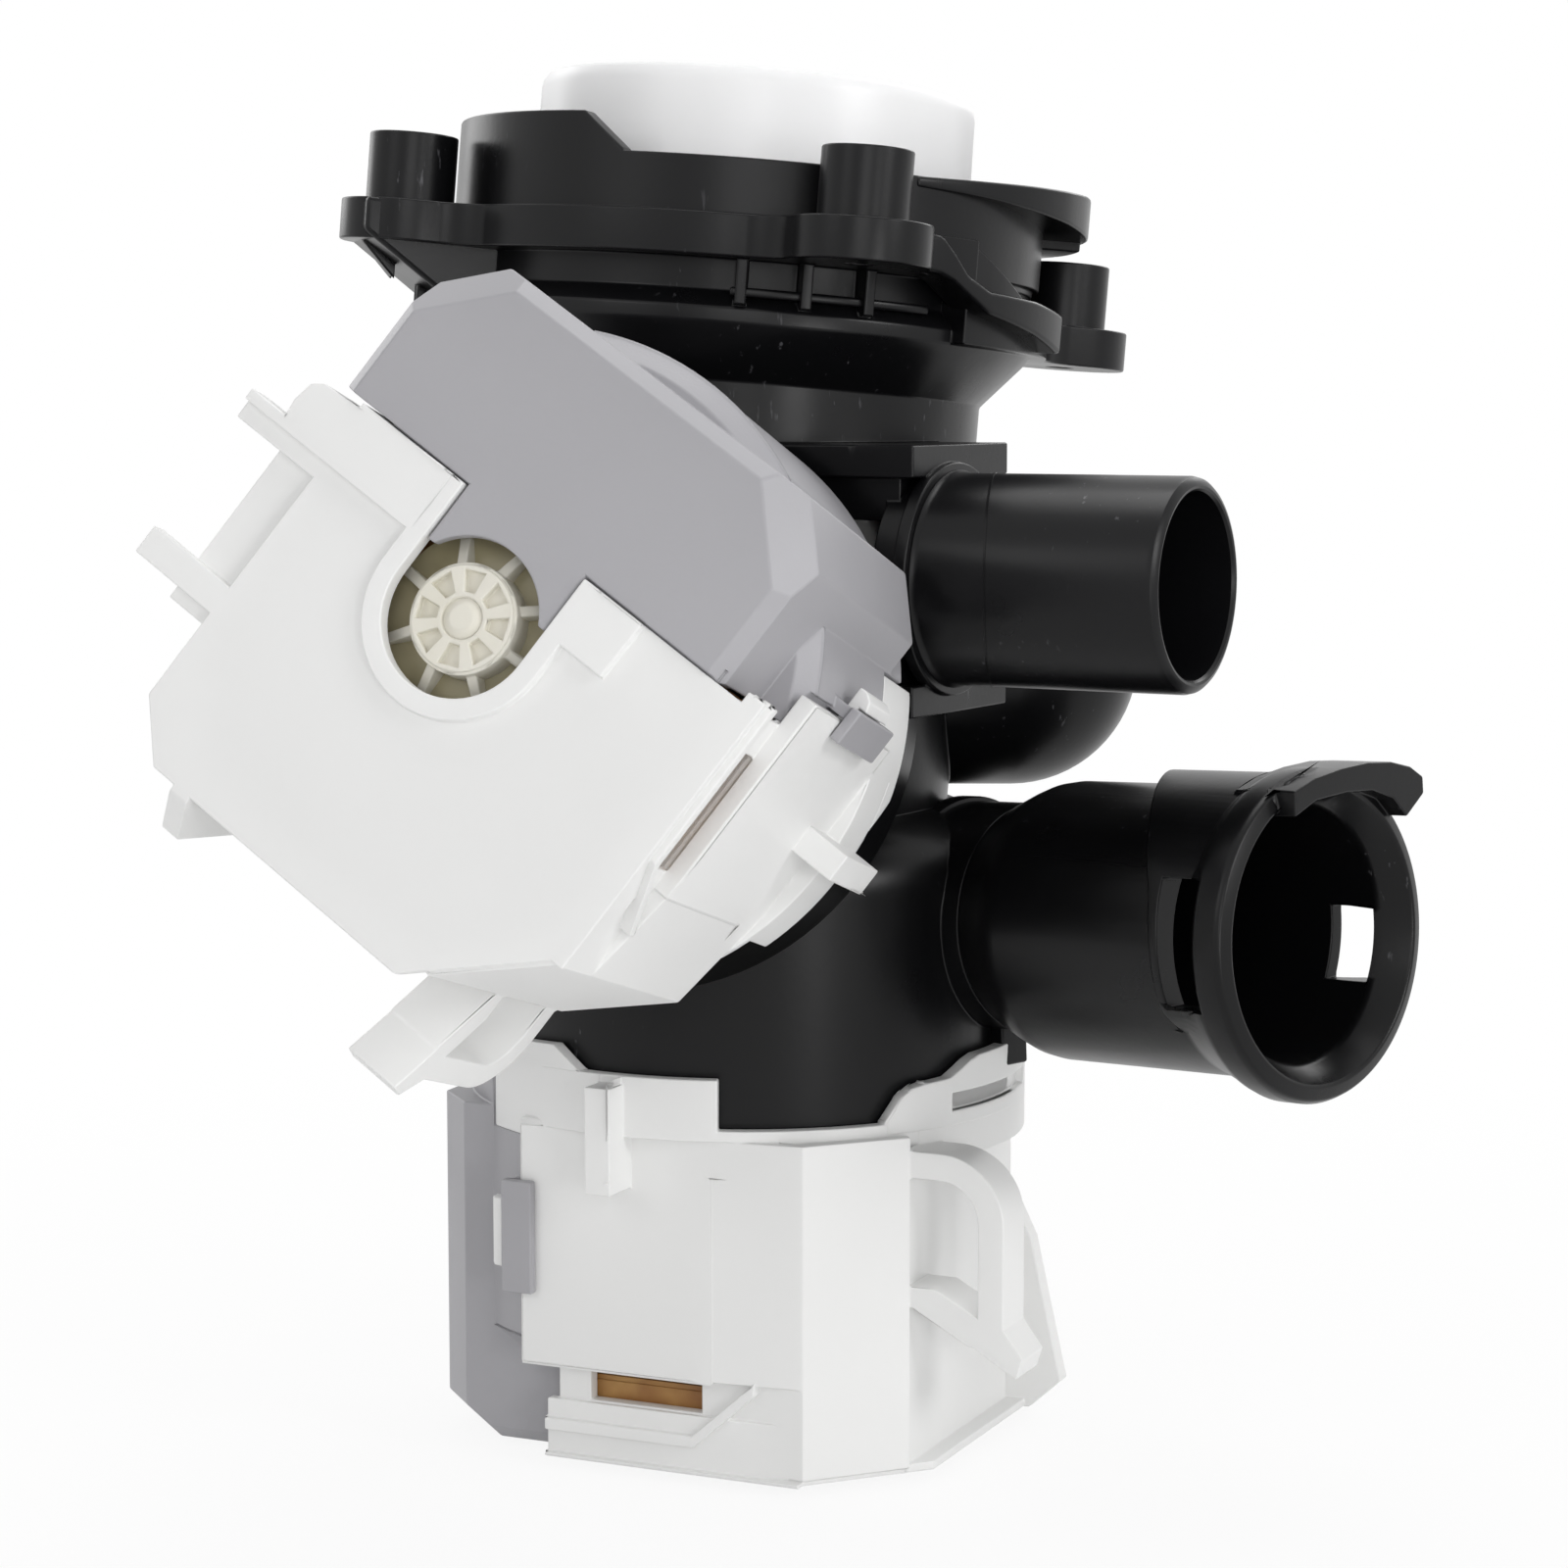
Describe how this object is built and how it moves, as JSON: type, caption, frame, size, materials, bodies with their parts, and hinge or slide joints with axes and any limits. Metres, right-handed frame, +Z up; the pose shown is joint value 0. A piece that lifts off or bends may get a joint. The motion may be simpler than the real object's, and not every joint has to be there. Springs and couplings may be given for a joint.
{
  "type": "washing machine drain pump",
  "caption": "Washing machine pump: black moulded housing with a filter tube and turn-out filter, drain and circulation motors, hose pipes and a bell socket.",
  "frame": {"origin": "middle of the plan box, on the surface the part stands on", "axes": "+Z up along the drain pump axis, towards the filter knob; +X to the right as in the picture, the way the pipes point; -Y towards the viewer"},
  "size_m": [0.1764, 0.178, 0.2056],
  "materials": {
    "housing_black": "satin, finely scuffed",
    "carrier_white": "satin",
    "cap_grey": "fine matt grain",
    "knob_white": "slightly see-through",
    "cage_white": "satin",
    "can_beige": "satin",
    "seal_rubber": "matt",
    "core_steel": "stacked sheet",
    "coil_copper": "enamelled wire",
    "board_brown": "phenolic board",
    "terminal_tin": "tinned",
    "bush_carbon": "carbon",
    "magnet_black": "ferrite",
    "shaft_steel": "ground",
    "impeller_white": "satin"
  },
  "bodies": {
    "pump": {"pump_housing": "housing_black", "circulation_outlet": "housing_black", "drain_socket": "housing_black", "inlet_spout": "housing_black", "drain_motor_carrier": "carrier_white", "drain_motor_cap": "cap_grey", "drain_rotor_can": "can_beige", "drain_can_seal": "seal_rubber", "drain_stator_core": "core_steel", "drain_stator_coils": "coil_copper", "drain_driver_board": "board_brown", "drain_terminals": "terminal_tin", "drain_front_bush": "bush_carbon", "drain_rear_bush": "bush_carbon", "circulation_motor_carrier": "carrier_white", "circulation_motor_cap": "cap_grey", "circulation_rotor_can": "can_beige", "circulation_can_seal": "seal_rubber", "circulation_stator_core": "core_steel", "circulation_stator_coils": "coil_copper", "circulation_driver_board": "board_brown", "circulation_terminals": "terminal_tin", "circulation_front_bush": "bush_carbon", "circulation_rear_bush": "bush_carbon"},
    "drain_rotor": {"drain_rotor_magnet": "magnet_black", "drain_rotor_shaft": "shaft_steel", "drain_impeller": "impeller_white"},
    "circulation_rotor": {"circulation_rotor_magnet": "magnet_black", "circulation_rotor_shaft": "shaft_steel", "circulation_impeller": "impeller_white"},
    "filter_insert": {"filter_seal": "seal_rubber"},
    "filter": {"filter_knob": "knob_white", "filter_cage": "cage_white"}
  },
  "joints": [
    {"name": "drain_spin", "type": "hinge", "parent": "pump", "child": "drain_rotor", "pos_m": [-0.00883, 0.02513, 0.03], "axis": [0, 0, 1], "continuous": true},
    {"name": "circulation_spin", "type": "hinge", "parent": "pump", "child": "circulation_rotor", "pos_m": [-0.02971, -0.02537, 0.11702], "axis": [-0.2831, -0.9258, 0.2504], "continuous": true},
    {"name": "filter_pull", "type": "slide", "parent": "pump", "child": "filter_insert", "axis": [0.0784, 0.0349, 0.9963], "range_m": [0, 0.1]},
    {"name": "filter_turn", "type": "hinge", "parent": "filter_insert", "child": "filter", "pos_m": [-0.00883, 0.02913, 0.181], "axis": [0.0784, 0.0349, 0.9963], "range_deg": [0, 90]}
  ]
}
